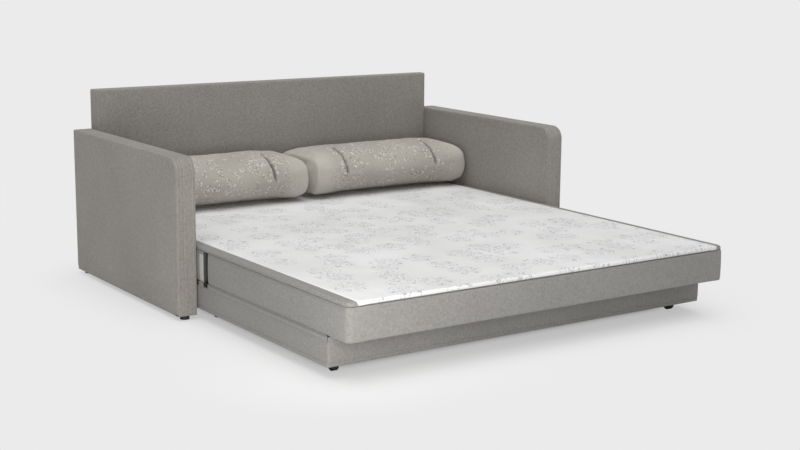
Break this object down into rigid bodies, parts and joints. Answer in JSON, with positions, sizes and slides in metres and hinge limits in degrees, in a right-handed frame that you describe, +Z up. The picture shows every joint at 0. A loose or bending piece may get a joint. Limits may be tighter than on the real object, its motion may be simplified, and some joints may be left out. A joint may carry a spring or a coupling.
{
  "type": "sofa bed",
  "caption": "Low sofa bed shown open: thin upholstered arms and back, fold-out quilted mattress on a slatted pull-out base with rollers, and loose back cushions.",
  "frame": {"origin": "on the floor, below the middle of the open bed's bounding box", "axes": "+X to the right hand of someone who looks at the back from the bed's foot, -Y out of the front, +Z up"},
  "size_m": [2.08, 2.278, 0.878],
  "materials": {
    "upholstery": "matte woven melange",
    "mattress_border": "matte woven melange",
    "quilted_top": "matte quilted damask",
    "cushion_fabric": "matte patterned weave",
    "foam": "matte foam",
    "timber": "matte sawn pine",
    "slat_wood": "satin plywood",
    "hardboard": "matte pressed board",
    "steel": "satin zinc plated",
    "black_plastic": "matte moulded"
  },
  "bodies": {
    "sofa_frame": {"left_arm_frame": "timber", "right_arm_frame": "timber", "left_arm_outer_panel": "hardboard", "right_arm_outer_panel": "hardboard", "left_arm_inner_panel": "hardboard", "right_arm_inner_panel": "hardboard", "left_arm_padding": "foam", "right_arm_padding": "foam", "left_arm_cover": "upholstery", "right_arm_cover": "upholstery", "arm_glides": "black_plastic", "back_frame": "timber", "back_front_panel": "hardboard", "back_rear_panel": "hardboard", "back_padding": "foam", "back_cover": "upholstery", "back_glides": "black_plastic", "arm_bolts": "steel", "arm_bolt_nuts": "steel", "rear_ledger": "timber", "left_side_rail": "timber", "right_side_rail": "timber", "side_rail_screws": "steel", "crossbeam": "timber", "crossbeam_legs": "timber", "crossbeam_feet": "black_plastic", "guide_pads": "black_plastic", "fixed_slats": "slat_wood", "fixed_slat_screws": "steel", "mattress_rear_core": "foam", "mattress_rear_cover": "mattress_border", "mattress_rear_quilt": "quilted_top"},
    "pull_out_base": {"base_front_board": "timber", "base_left_board": "timber", "base_right_board": "timber", "base_crossbar": "timber", "base_ledger": "timber", "base_front_padding": "foam", "base_front_cover": "upholstery", "base_left_cover": "upholstery", "base_right_cover": "upholstery", "pull_out_slats": "slat_wood", "pull_out_slat_screws": "steel", "roller_blocks": "timber", "roller_brackets": "steel", "bracket_screws": "steel", "roller_axles": "steel"},
    "mattress_front": {"mattress_front_core": "foam", "mattress_front_cover": "mattress_border", "mattress_front_quilt": "quilted_top"},
    "left_cushion": {"left_back_cushion": "cushion_fabric"},
    "right_cushion": {"right_back_cushion": "cushion_fabric"},
    "front_left_roller": {"front_left_roller": "black_plastic"},
    "front_right_roller": {"front_right_roller": "black_plastic"},
    "rear_left_roller": {"rear_left_roller": "black_plastic"},
    "rear_right_roller": {"rear_right_roller": "black_plastic"}
  },
  "joints": [
    {"name": "base_slide", "type": "slide", "parent": "sofa_frame", "child": "pull_out_base", "axis": [0, 1, 0], "range_m": [0, 0.986]},
    {"name": "mattress_fold", "type": "hinge", "parent": "sofa_frame", "child": "mattress_front", "pos_m": [0, -0.033, 0.3206], "axis": [-1, 0, 0], "range_deg": [0, 180]},
    {"name": "left_cushion_lift", "type": "slide", "parent": "sofa_frame", "child": "left_cushion", "axis": [0, 0, 1], "range_m": [0, 1.226]},
    {"name": "right_cushion_lift", "type": "slide", "parent": "sofa_frame", "child": "right_cushion", "axis": [0, 0, 1], "range_m": [0, 1.226]},
    {"name": "front_left_roller_spin", "type": "hinge", "parent": "pull_out_base", "child": "front_left_roller", "pos_m": [-0.863, -0.905, 0.025], "axis": [1, 0, 0], "continuous": true},
    {"name": "front_right_roller_spin", "type": "hinge", "parent": "pull_out_base", "child": "front_right_roller", "pos_m": [0.863, -0.905, 0.025], "axis": [1, 0, 0], "continuous": true},
    {"name": "rear_left_roller_spin", "type": "hinge", "parent": "pull_out_base", "child": "rear_left_roller", "pos_m": [-0.863, 0.026, 0.025], "axis": [1, 0, 0], "continuous": true},
    {"name": "rear_right_roller_spin", "type": "hinge", "parent": "pull_out_base", "child": "rear_right_roller", "pos_m": [0.863, 0.026, 0.025], "axis": [1, 0, 0], "continuous": true}
  ],
  "couplings": [
    {"joint": "left_cushion_lift", "follows": "mattress_fold", "m_per_rad": 0.39},
    {"joint": "right_cushion_lift", "follows": "mattress_fold", "m_per_rad": 0.39}
  ]
}
